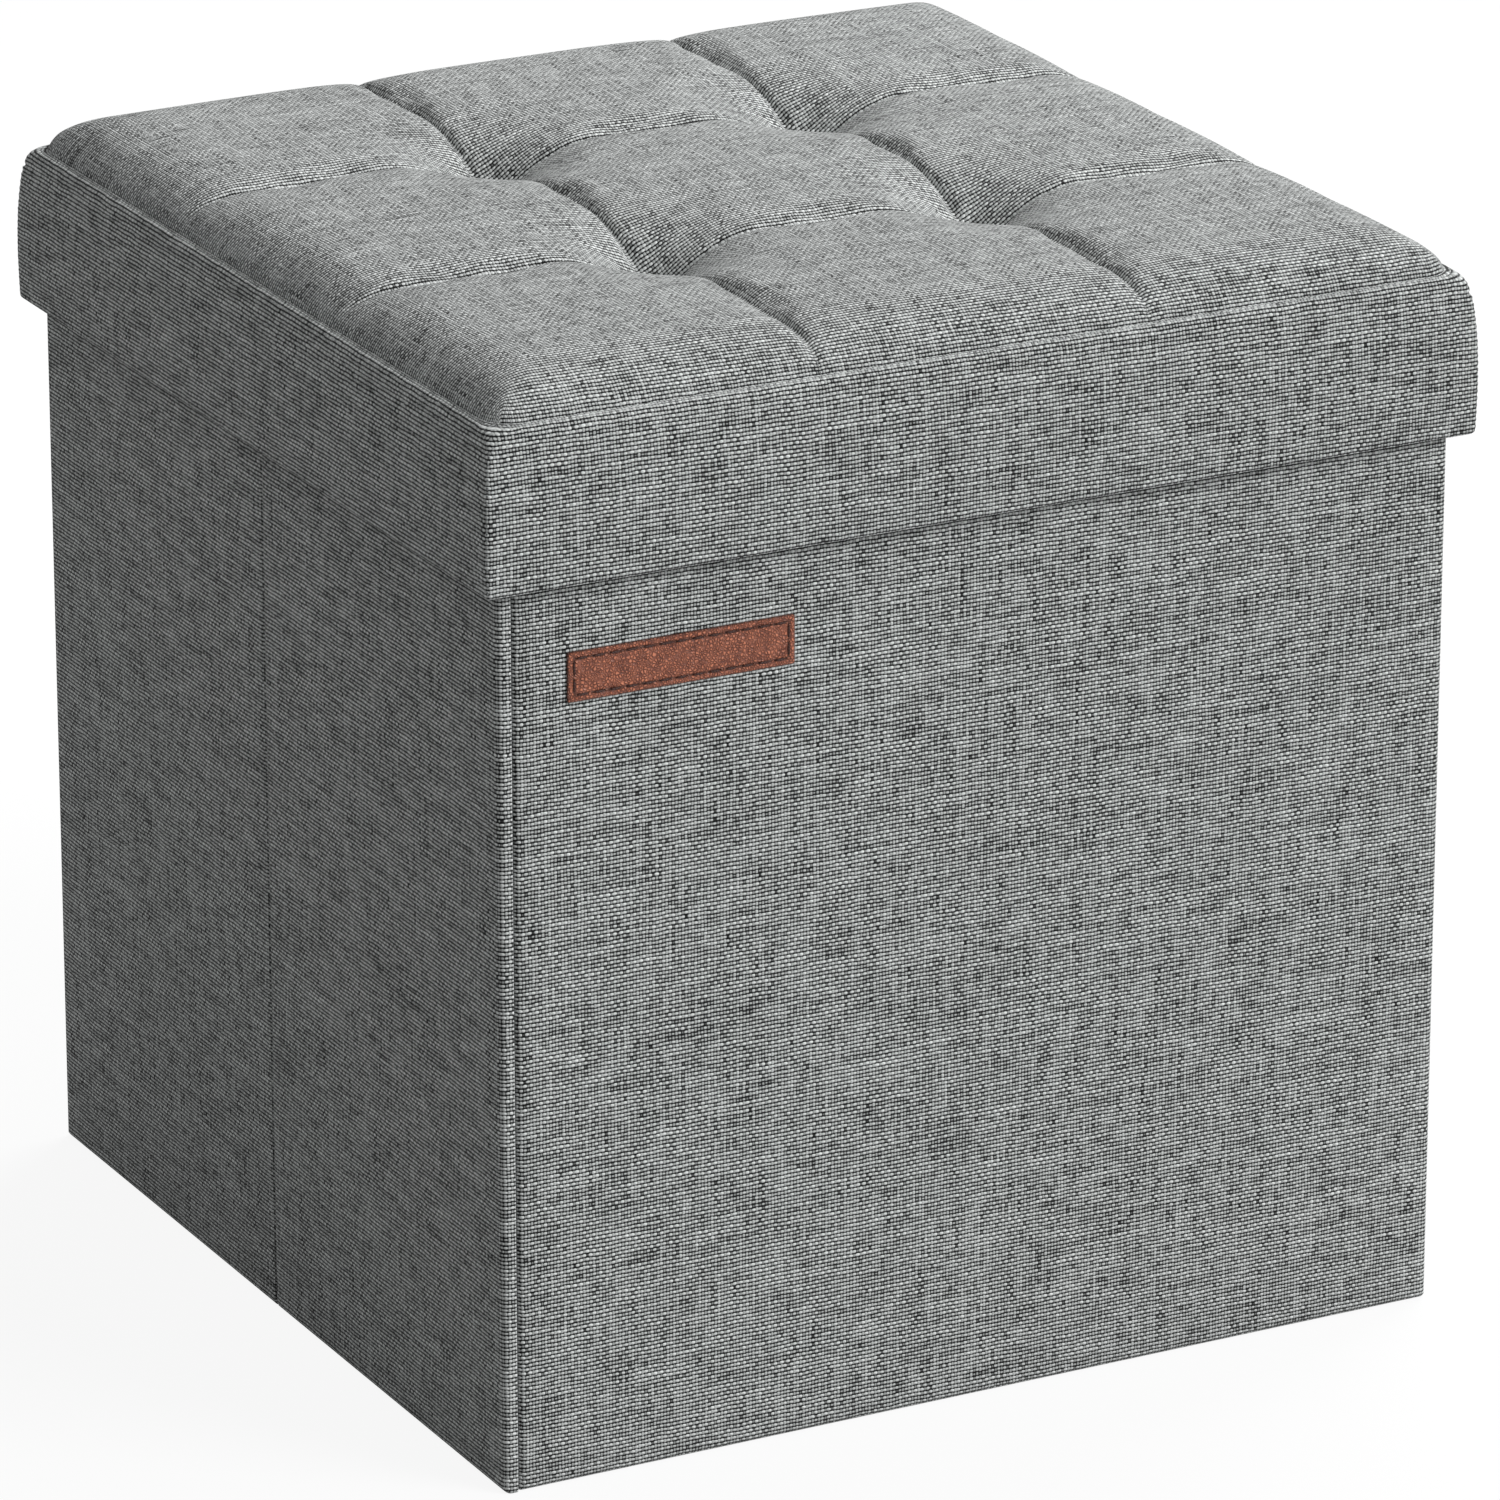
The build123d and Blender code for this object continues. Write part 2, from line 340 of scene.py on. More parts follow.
@dataclass(frozen=True)
class Nonwoven(Finish):
    """Spun-bonded polypropylene: thin matt felt of fine fibres, pressed together at a grid of points."""

    relief_mm: float = 0.12
    fibre_light: str = "#5A5B5E"
    fibre_dark: str = "#393A3D"
    # The real fibres are far finer. They are drawn as tufts this wide, so that the felt shows.
    fibre_mm: float = 1.11
    point_pitch_mm: float = 1.6
    point_edge: Pair = (0.35, 0.8)
    grid_angle: float = math.radians(45)
    dimming: float = 0.5

    def paint(self, add: AddNode) -> tuple[Socket, Socket]:
        """Draws the fibres and the pressed points.

        Args:
            add: Adds a node to the material.

        Returns:
            The colour and the height.
        """
        flat = add("UVMap", uv_map=CLOTH_UV)
        fibres = add("TexNoise", {"Vector": flat, "Scale": 1 / (self.fibre_mm * MM), "Detail": 5.0,
                                  "Distortion": 1.5})
        turned = add("Mapping", {"Vector": flat, "Rotation": (0, 0, self.grid_angle)})
        place = add("SeparateXYZ", (turned,)).node.outputs
        turns = [add("Math", (place[i], 2 * math.pi / (self.point_pitch_mm * MM)), operation="MULTIPLY")
                 for i in (0, 1)]
        points = add("Math", [add("Math", (turn,), operation="SINE") for turn in turns], operation="MULTIPLY")
        pressed = add("MapRange", {"Value": points, **limits(self.point_edge)}, **SOFT_STEP)
        felt = add("Mix", {0: fibres, **shades(self.fibre_dark, self.fibre_light)}, **COLOURS)
        share = add("Math", (pressed, self.dimming), operation="MULTIPLY")
        half = add("Math", (fibres, 0.5), operation="MULTIPLY")
        height = add("Math", (half, pressed), operation="SUBTRACT")
        return add("Mix", {0: share, 6: felt, 7: linear(self.fibre_dark)}, **COLOURS), height


@dataclass(frozen=True)
class GrainedLeather(Finish):
    """Reddish-brown coated cow leather: pebbled grain with fine creases, half matt, with painted shade in its
    holes and stitch groove.
    """

    relief_mm: float = 0.45
    # The pebble tops are painted lighter and the creases between them darker: part the leather's own tone,
    # part painted highlight and shade.
    high: str = "#D98767"
    low: str = "#5C2A1C"
    # Painted shade: the colour of the needle holes and the stitch groove, and part of the darker rolled edge.
    hole: str = "#1E0C08"
    grain_mm: float = 1.1
    crease_width: float = 0.34
    bend_mm: float = 1.2
    bend_run_mm: float = 2.38
    blotch_mm: float = 3.03
    wear_edge: Pair = (0.36, 0.66)
    grain_share: float = 0.7
    wear_share: float = 0.32
    blotch_height: float = 0.8

    def paint(self, add: AddNode) -> tuple[Socket, Socket]:
        """Draws the pebble grain, the creases and the shade of the stitch groove.

        Args:
            add: Adds a node to the material.

        Returns:
            The colour and the height.
        """
        place = add("TexCoord", out="Object")
        bent = add("TexNoise", {"Vector": place, "Scale": 1 / (self.bend_run_mm * MM)}, "Color")
        nudge = add("VectorMath", {0: bent, "Scale": self.bend_mm * MM}, operation="SCALE")
        moved = add("VectorMath", (place, nudge), operation="ADD")
        pebble = add("TexVoronoi", {"Vector": moved, "Scale": 1 / (self.grain_mm * MM)}, "Distance",
                     feature="DISTANCE_TO_EDGE")
        grain = add("MapRange", {"Value": pebble, "From Max": self.crease_width}, **SOFT_STEP)
        blotch = add("TexNoise", {"Vector": place, "Scale": 1 / (self.blotch_mm * MM), "Detail": 4.0,
                                  "Roughness": 0.7})
        wear = add("MapRange", {"Value": blotch, **limits(self.wear_edge)})
        worn = add("Math", (wear, self.wear_share), operation="MULTIPLY")
        # Pebble tops lighter and creases darker: part the grain's own tone, part painted highlight and shade.
        tone = add("Math", (grain, self.grain_share, worn), operation="MULTIPLY_ADD")
        skin = add("Mix", {0: tone, **shades(self.low, self.high)}, **COLOURS)
        # The share that the leather is pressed in paints shade in the holes and the groove, and darkens the
        # rolled edge.
        depth = add("Attribute", out="Fac", attribute_name=LabelStrap.SINK_AND_SHADE)
        height = add("Math", (blotch, self.blotch_height, grain), operation="MULTIPLY_ADD")
        return add("Mix", {0: depth, 6: skin, 7: linear(self.hole)}, **COLOURS), height


@dataclass(frozen=True)
class SpunThread(Finish):
    """Twisted polyester sewing thread: slight sheen, with the plies showing as slanting stripes."""

    relief_mm: float = 0.08
    light: str = "#4A241A"
    dark: str = "#200D09"
    ply_mm: float = 0.5

    def paint(self, add: AddNode) -> tuple[Socket, Socket]:
        """Draws the plies.

        Args:
            add: Adds a node to the material.

        Returns:
            The colour and the height.
        """
        place = add("TexCoord", out="Object")
        scale = WAVE_PERIOD / (self.ply_mm * MM)
        plies = add("TexWave", {"Vector": place, "Scale": scale, "Distortion": 1.0}, "Fac",
                    bands_direction="DIAGONAL")
        return add("Mix", {0: plies, **shades(self.dark, self.light)}, **COLOURS), plies


@dataclass(frozen=True)
class SpeckledSolid(Finish):
    """A cut or moulded solid with fine specks, such as fibreboard, foam or nylon."""

    light: str = "#B08F66"
    dark: str = "#7A5B3A"
    # The specks of a cut board or a moulded face are finer. They are drawn this coarse, so that they show.
    speck_mm: float = 1.5
    speck_edge: Pair = (0.35, 0.65)

    def paint(self, add: AddNode) -> tuple[Socket, Socket]:
        """Draws the specks.

        Args:
            add: Adds a node to the material.

        Returns:
            The colour and the height.
        """
        specks = add("TexNoise", {"Vector": add("TexCoord", out="Object"), "Scale": 1 / (self.speck_mm * MM),
                                  "Detail": 5.0})
        share = add("MapRange", {"Value": specks, **limits(self.speck_edge)})
        return add("Mix", {0: share, **shades(self.dark, self.light)}, **COLOURS), specks


FINISHES: tuple[Finish, ...] = (
    LinenWeave(Slot.LINEN, "woven_polyester_linen", roughness=0.92, specular=0.15, sheen=0.12),
    Nonwoven(Slot.LINING, "spunbonded_polypropylene", roughness=0.85, specular=0.2),
    SpeckledSolid(Slot.BOARD, "pressed_fibreboard", roughness=0.75),
    SpeckledSolid(Slot.FOAM, "open_cell_polyurethane_foam", roughness=0.95, light="#EFE9D2", dark="#D3CBAA",
                  speck_mm=0.8, relief_mm=0.4),
    GrainedLeather(Slot.LEATHER, "coated_pebbled_leather", roughness=0.42, specular=0.45),
    SpunThread(Slot.LABEL_THREAD, "twisted_polyester_thread", roughness=0.5, specular=0.35),
    SpunThread(Slot.TUFT_CORD, "twisted_nylon_twine", roughness=0.55, light="#A0A3A2", dark="#585B5B"),
    SpeckledSolid(Slot.WASHER, "moulded_nylon", roughness=0.42, specular=0.5, light="#303134", dark="#28292B",
                  speck_mm=0.6, relief_mm=0.02),
)


# ---------------------------------------------------------------- meshes and pieces


def node_box(node: str) -> tuple[Vector, Vector]:
    """Gives the lowest and highest corner of a CAD node."""
    low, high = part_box(node)
    return Vector(low), Vector(high)


def box_mesh(low: Vector, high: Vector) -> Shape:
    """Starts a mesh from a box.

    Args:
        low: The box's lowest corner.
        high: The box's highest corner.

    Returns:
        The mesh.
    """
    shape = bmesh.new()
    bmesh.ops.create_cube(shape, size=1.0)
    bmesh.ops.scale(shape, vec=high - low, verts=shape.verts)
    bmesh.ops.translate(shape, vec=(low + high) / 2, verts=shape.verts)
    return shape


def round_off(shape: Shape, items: list, radius: float, segments: int, affect: str = "EDGES") -> None:
    """Rounds edges or corners.

    Args:
        shape: The mesh.
        items: Its edges, or its points.
        radius: The radius.
        segments: The segments in each round.
        affect: EDGES or VERTICES.
    """
    bmesh.ops.bevel(shape, geom=items, offset=radius, offset_type="OFFSET", segments=segments, profile=0.5,
                    affect=affect, material=-1)


def cut_grid(shape: Shape, low: Vector, high: Vector, axes: Iterable[int], pitch: float,
             margin: float = 0.0) -> None:
    """Cuts a mesh with evenly spaced planes, so that it can bend.

    Args:
        shape: The mesh.
        low: Its lowest corner.
        high: Its highest corner.
        axes: The axes that the planes are square to.
        pitch: The distance between cuts.
        margin: How far from both ends the spacing starts.
    """
    for axis in axes:
        start, end = low[axis] + margin, high[axis] - margin
        count = max(1, round((end - start) / pitch))
        normal = Vector((0, 0, 0))
        normal[axis] = 1
        for index in range(1, count):
            place = normal * (start + (end - start) * index / count)
            geometry = shape.verts[:] + shape.edges[:] + shape.faces[:]
            bmesh.ops.bisect_plane(shape, geom=geometry, plane_co=place, plane_no=normal, dist=TINY)


def extrude(shape: Shape, ring: list[bmesh.types.BMEdge]) -> tuple[list, list]:
    """Extrudes a ring of edges, without moving it yet.

    Args:
        shape: The mesh.
        ring: The edges.

    Returns:
        The new points and the new ring.
    """
    made = bmesh.ops.extrude_edge_only(shape, edges=ring)["geom"]
    points = [item for item in made if isinstance(item, bmesh.types.BMVert)]
    edges = [item for item in made if isinstance(item, bmesh.types.BMEdge)]
    return points, [edge for edge in edges if set(edge.verts) <= set(points)]


def lay_cloth(shape: Shape, shift: float = 0.0) -> None:
    """Writes each face's flat cloth coordinates, in metres, seen square to the face.

    Args:
        shape: The mesh.
        shift: How far the cloth's pattern is moved sideways on this piece.
    """
    layer = shape.loops.layers.uv.new(CLOTH_UV)
    shape.normal_update()
    for face in shape.faces:
        size = [abs(part) for part in face.normal]
        across, up = ((1, 2), (0, 2), (0, 1))[size.index(max(size))]
        for loop in face.loops:
            loop[layer].uv = (loop.vert.co[across] + shift, loop.vert.co[up])


def piece_from(shape: Shape, name: str) -> Piece:
    """Turns a finished mesh into a smooth-shaded piece.

    Args:
        shape: The mesh, which is freed.
        name: The piece's name.

    Returns:
        The piece.
    """
    mesh = bpy.data.meshes.new(name)
    shape.to_mesh(mesh)
    shape.free()
    for polygon in mesh.polygons:
        polygon.use_smooth = True
    piece = bpy.data.objects.new(name, mesh)
    bpy.context.scene.collection.objects.link(piece)
    return piece


def thicken(piece: Piece, thickness: float) -> None:
    """Gives an open cloth surface its thickness, inwards.

    Args:
        piece: The piece.
        thickness: The cloth's thickness.
    """
    solid = piece.modifiers.new("cloth thickness", "SOLIDIFY")
    solid.thickness = thickness
    solid.offset = -1.0
    solid.use_even_offset = True


def round_square(half: Vector, radius: float, pitch: float) -> Shape:
    """Makes a flat square outline with rounded corners, about the Z axis.

    Args:
        half: Half the outline's width and depth.
        radius: The corner radius.
        pitch: The distance between points on a straight side.

    Returns:
        A mesh with the outline's edges and no face.
    """
    shape = bmesh.new()
    bmesh.ops.create_grid(shape, x_segments=1, y_segments=1, size=1.0)
    bmesh.ops.scale(shape, vec=(half.x, half.y, 1), verts=shape.verts)
    round_off(shape, shape.verts[:], radius, CORNER_SEGMENTS, "VERTICES")
    sides = [edge for edge in shape.edges if edge.calc_length() > half.x]
    bmesh.ops.subdivide_edges(shape, edges=sides, cuts=round((2 * half.x - 2 * radius) / pitch))
    bmesh.ops.delete(shape, geom=shape.faces[:], context="FACES_ONLY")
    return shape


def corner_size(radius: float, out: float) -> float:
    """Gives a band's corner radius where it stands out by a length. Cloth that leans far in gets rounder."""
    return radius + max(0.0, out) + ROUNDING * max(0.0, -out - ROUNDING_FROM)


def inset_point(place: Vector, half: Vector, radius: float, out: float) -> Vector:
    """Moves a point of a rounded square outline outwards or inwards.

    Args:
        place: The point on the outline.
        half: Half the outline's width and depth.
        radius: The corner radius.
        out: How far it moves, negative for inwards.

    Returns:
        The moved point.
    """
    inner = Vector((half.x - radius, half.y - radius, 0))
    core = Vector([max(-limit, min(limit, part)) for part, limit in zip(place, inner)])
    wide = corner_size(radius, out)
    scaled = Vector((core.x * (half.x + out - wide) / inner.x, core.y * (half.y + out - wide) / inner.y, 0))
    return scaled + (place - core).normalized() * wide


def round_corner(place: Vector, halves: Pair, radius: float, axes: tuple[int, int] = (0, 1)) -> Vector:
    """Pulls a point near a rectangle's corner onto the corner's arc.

    Args:
        place: The point.
        halves: Half of each of the rectangle's sides.
        radius: The corner radius.
        axes: The axes of the two sides.

    Returns:
        The point, moved where it is within a corner.
    """
    past = [abs(place[axis]) - (half - radius) for axis, half in zip(axes, halves)]
    moved = place.copy()
    if min(past) > 0:
        scale = max(past) / math.hypot(*past)
        for axis, length in zip(axes, past):
            moved[axis] -= math.copysign(length * (1 - scale), place[axis])
    return moved


def sweep_band(half: Vector, radius: float, profile: list[Pair], closed: bool, pitch: float) -> Shape:
    """Sweeps a profile round a rounded square, and lays the cloth's coordinates along and up the band.

    Args:
        half: Half the outline's width and depth.
        radius: The corner radius.
        profile: Points of the section: how far out of the outline, and the height.
        closed: Whether the section's last point joins its first.
        pitch: The distance between points on a straight side.

    Returns:
        The band.
    """
    shape = round_square(half, radius, pitch)
    outline = shape.verts.layers.float_vector.new("outline")
    climb = shape.verts.layers.float.new("climb")
    for vert in shape.verts:
        vert[outline] = vert.co
    first = ring = shape.edges[:]
    moved = shape.verts[:]
    travelled = 0.0
    for step, (out, height) in enumerate(profile):
        if step:
            travelled += math.dist(profile[step - 1], profile[step])
            moved, ring = extrude(shape, ring)
        for vert in moved:
            vert.co = inset_point(vert[outline], half, radius, out) + Vector((0, 0, height))
            vert[climb] = travelled
    if closed:
        bmesh.ops.bridge_loops(shape, edges=first + ring)
    cloth = shape.loops.layers.uv.new(CLOTH_UV)
    for face in shape.faces:
        middle = face.calc_center_median()
        along = 0 if abs(middle.y) > abs(middle.x) else 1
        for loop in face.loops:
            loop[cloth].uv = (loop.vert.co[along], profile[0][1] + loop.vert[climb])
    shape.verts.layers.float.remove(climb)
    shape.verts.layers.float_vector.remove(outline)
    bmesh.ops.recalc_face_normals(shape, faces=shape.faces)
    return shape


def arc(centre: Pair, radius: float, start: float, end: float, steps: int) -> list[Pair]:
    """Gives points on an arc of a section.

    Args:
        centre: The arc's centre, out and up.
        radius: Its radius.
        start: The first point's angle in degrees, from outwards towards up.
        end: The last point's angle.
        steps: The number of steps.

    Returns:
        The points.
    """
    angles = [math.radians(start + (end - start) * index / steps) for index in range(steps + 1)]
    return [(centre[0] + radius * math.cos(a), centre[1] + radius * math.sin(a)) for a in angles]


def add_stitch(shape: Shape, middle: Vector, reach: Vector, normal: Vector, width: float,
               height: float) -> None:
    """Adds one stitch: a short plump thread that dips in at both ends.

    Args:
        shape: The mesh that gets the stitch.
        middle: The stitch's middle.
        reach: The way from there to the thread's end.
        normal: The cloth's outward direction.
        width: The thread's width.
        height: How far it stands out.
    """
    along = reach.normalized()
    across = normal.cross(along).normalized()
    size = Matrix.Diagonal(Vector((reach.length, width / 2, height, 1)))
    turn = Matrix((along, across, along.cross(across))).transposed().to_4x4()
    bmesh.ops.create_uvsphere(shape, u_segments=8, v_segments=6, radius=1.0,
                              matrix=Matrix.Translation(middle) @ turn @ size)


class Dressing:
    """The built materials, and the one way that every piece is finished and tied to its body."""

    def __init__(self) -> None:
        """Builds each finish's material once."""
        self.materials = {finish.slot: finish.surface() for finish in FINISHES}

    def dress(self, piece: Piece, slot: Slot, body: str, *nodes: str, rides: bool = True) -> Piece:
        """Gives a new piece its slot's material and its body.

        Args:
            piece: The piece.
            slot: The slot that it takes its finish from.
            body: The body that it moves with.
            nodes: The CAD nodes that it stands for.
            rides: False for a piece that blends across a joint instead.

        Returns:
            The same piece.
        """
        piece.data.materials.append(self.materials[slot])
        if rides:
            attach(piece, body)
        if nodes:
            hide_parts(*nodes)
        LOG.info("%s: %d faces on %s", piece.name, len(piece.data.polygons), body)
        return piece

    def dress_solids(self, slot: Slot, *nodes: str) -> None:
        """Gives CAD nodes that keep their own shape their material.

        Args:
            slot: The slot that they take their finish from.
            nodes: The nodes' names.
        """
        for node in nodes:
            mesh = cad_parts[node].data
            mesh.materials.clear()
            mesh.materials.append(self.materials[slot])
            LOG.info("%s: own solid, %s", node, slot.value)


@dataclass
class SubAssembly:
    """A group of pieces that is built and dressed together."""

    dressing: Dressing

    def build(self) -> None:
        """Builds and dresses the pieces. Each sub-assembly has its own."""
        raise NotImplementedError


# ---------------------------------------------------------------- body


@dataclass
class WallPanel(SubAssembly):
    """One stiff wall: a board, the cloth pulled round its edges and the lining on its inside."""

    name: str
    side: Side
    crease_end: int = 0
    big_radius: float = 2.6 * MM
    small_radius: float = 1.2 * MM
    sharp_angle: float = math.radians(50)
    big_segments: int = 5
    small_segments: int = 3
    cloth: float = 0.8 * MM
    cut_pitch: float = 11.0 * MM
    ripple: float = 0.22 * MM
    cover_rate: float = 28.0
    lining_rate: float = 22.0
    flat_width: float = 24.0 * MM
    pattern_shift: float = 0.37

    def ends(self, low: Vector, high: Vector) -> Pair:
        """Gives where a box's outer and inner faces are, on the axis that the wall is square to."""
        near, far = low[self.side.axis], high[self.side.axis]
        return (far, near) if self.side.sign > 0 else (near, far)

    def cover(self) -> None:
        """Builds the outer cloth."""
        low, high = node_box(self.name + "_cover")
        axis, other = self.side.axis, 1 - self.side.axis
        outer, inner = self.ends(low, high)
        shape = box_mesh(low, high)
        rim = [edge for edge in shape.edges if self.is_outer_rim(edge, outer, low.z, high.z)]
        round_off(shape, rim, self.big_radius, self.big_segments)
        sharp = [edge for edge in shape.edges if edge.calc_face_angle(0) > self.sharp_angle
                 and not all(abs(vert.co[axis] - inner) < TINY for vert in edge.verts)]
        round_off(shape, sharp, self.small_radius, self.small_segments)
        inside = [face for face in shape.faces if abs(face.calc_center_median()[axis] - inner) < TINY]
        bmesh.ops.delete(shape, geom=inside, context="FACES")
        cut_grid(shape, low, high, (other, 2), self.cut_pitch, self.big_radius)
        for vert in shape.verts:
            if abs(vert.co[axis] - outer) < TINY:
                # The cloth lies flat next to the crease, so that the two halves can close.
                free = min(1.0, abs(vert.co[other]) / self.flat_width) if self.crease_end else 1.0
                self.puff_out(vert, free, self.cover_rate)
        lay_cloth(shape, self.pattern_shift * outer)
        piece = piece_from(shape, self.name + "_cloth")
        thicken(piece, self.cloth)
        self.dressing.dress(piece, Slot.LINEN, self.name, self.name + "_cover")

    def is_outer_rim(self, edge: bmesh.types.BMEdge, outer: float, bottom: float, top: float) -> bool:
        """Tells whether an edge of the plain box is one that the cloth is pulled round.

        Args:
            edge: The edge.
            outer: Where the wall's outer face is.
            bottom: The wall's lowest height.
            top: The wall's highest height.

        Returns:
            True for the outer face's bottom edge and its upright edges, except at a crease.
        """
        axis = self.side.axis
        middle = (edge.verts[0].co + edge.verts[1].co) / 2
        if abs(middle[axis] - outer) > TINY or abs(middle.z - top) < TINY:
            return False
        upright = abs(middle.z - bottom) > TINY
        at_crease = self.crease_end and middle[1 - axis] * self.crease_end < abs(middle[axis]) / 2
        return not (upright and at_crease)

    def puff_out(self, vert: bmesh.types.BMVert, share: float, rate: float) -> None:
        """Moves a point outwards by an uneven part of the ripple."""
        vert.co += self.side.outward * self.ripple * share * (0.5 + 0.5 * noise.noise(vert.co * rate))

    def lining(self) -> None:
        """Builds the lining: a thin sheet, a little uneven where it is glued to the board."""
        low, high = node_box(self.name + "_lining")
        axis = self.side.axis
        inner = self.ends(low, high)[1]
        shape = box_mesh(low, high)
        cut_grid(shape, low, high, (1 - axis, 2), self.cut_pitch)
        for vert in shape.verts:
            if abs(vert.co[axis] - inner) < TINY:
                self.puff_out(vert, 1.0, self.lining_rate)
        lay_cloth(shape)
        piece = piece_from(shape, self.name + "_inside")
        self.dressing.dress(piece, Slot.LINING, self.name, self.name + "_lining")

    def build(self) -> None:
        """Builds the wall's pieces and finishes its board."""
        self.cover()
        self.lining()
        self.dressing.dress_solids(Slot.BOARD, self.name + "_board")


@dataclass
class ClothHinge(SubAssembly):
    """A narrow strip of cloth that joins two walls and bends as they fold."""

    node: str
    slot: Slot
    first: str
    second: str
    bend_axis: int
    outward: int
    bends: bool = True
    dip: float = 0.3 * MM
    across_pitch: float = 0.1 * MM
    upright_pitch: float = 30.0 * MM
    side_slack: float = 2.0 * MM

    def build(self) -> None:
        """Builds the strip and, where it bends, lets it blend from one wall to the other."""
        low, high = node_box(self.node)
        bend, face_axis = self.bend_axis, 1 - self.bend_axis
        shape = box_mesh(low, high)
        cut_grid(shape, low, high, (bend,), self.across_pitch)
        cut_grid(shape, low, high, (2,), self.upright_pitch)
        middle = (low + high) / 2
        width = high[bend] - low[bend]
        face = high[face_axis] if self.outward > 0 else low[face_axis]
        for vert in shape.verts:
            if abs(vert.co[face_axis] - face) < TINY:
                share = 1 - (2 * abs(vert.co[bend] - middle[bend]) / width) ** 2
                vert.co[face_axis] -= self.outward * self.dip * share
        lay_cloth(shape)
        piece = piece_from(shape, self.node + "_cloth")
        self.dressing.dress(piece, self.slot, self.first, self.node, rides=not self.bends)
        if self.bends:
            start, end = middle.copy(), middle.copy()
            # The strip runs towards the side that the second wall is on.
            turn = 1 if node_box(self.second + "_cover")[0][bend] > low[bend] - self.side_slack else -1
            start[bend] -= turn * width / 2
            end[bend] += turn * width / 2
            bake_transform(piece, self.first, self.second, start=start, end=end)


@dataclass
class SewnBottom(SubAssembly):
    """The cloth bottom, sewn to the walls' lower edges, slack enough to crumple as the walls fold."""

    sag: float = 0.35 * MM
    sag_rate: float = 18.0
    flat_width: float = 20.0 * MM
    pitch: float = 9.0 * MM
    folded_share: float = 0.001

    def build(self) -> None:
        """Builds the bottom, sagging a little, and ties it to the front wall."""
        low, high = node_box("bottom_sheet")
        shape = box_mesh(low, high)
        cut_grid(shape, low, high, (0, 1), self.pitch)
        for vert in shape.verts:
            edge = min(high.x - abs(vert.co.x), high.y - abs(vert.co.y)) / self.flat_width
            flat = Vector((vert.co.x, vert.co.y, 0))
            vert.co.z -= self.sag * min(1.0, edge) * (0.6 + 0.4 * noise.noise(flat * self.sag_rate))
        lay_cloth(shape)
        piece = piece_from(shape, "sewn_bottom")
        self.dressing.dress(piece, Slot.LINING, "front_wall", "bottom_sheet")
        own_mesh(piece)


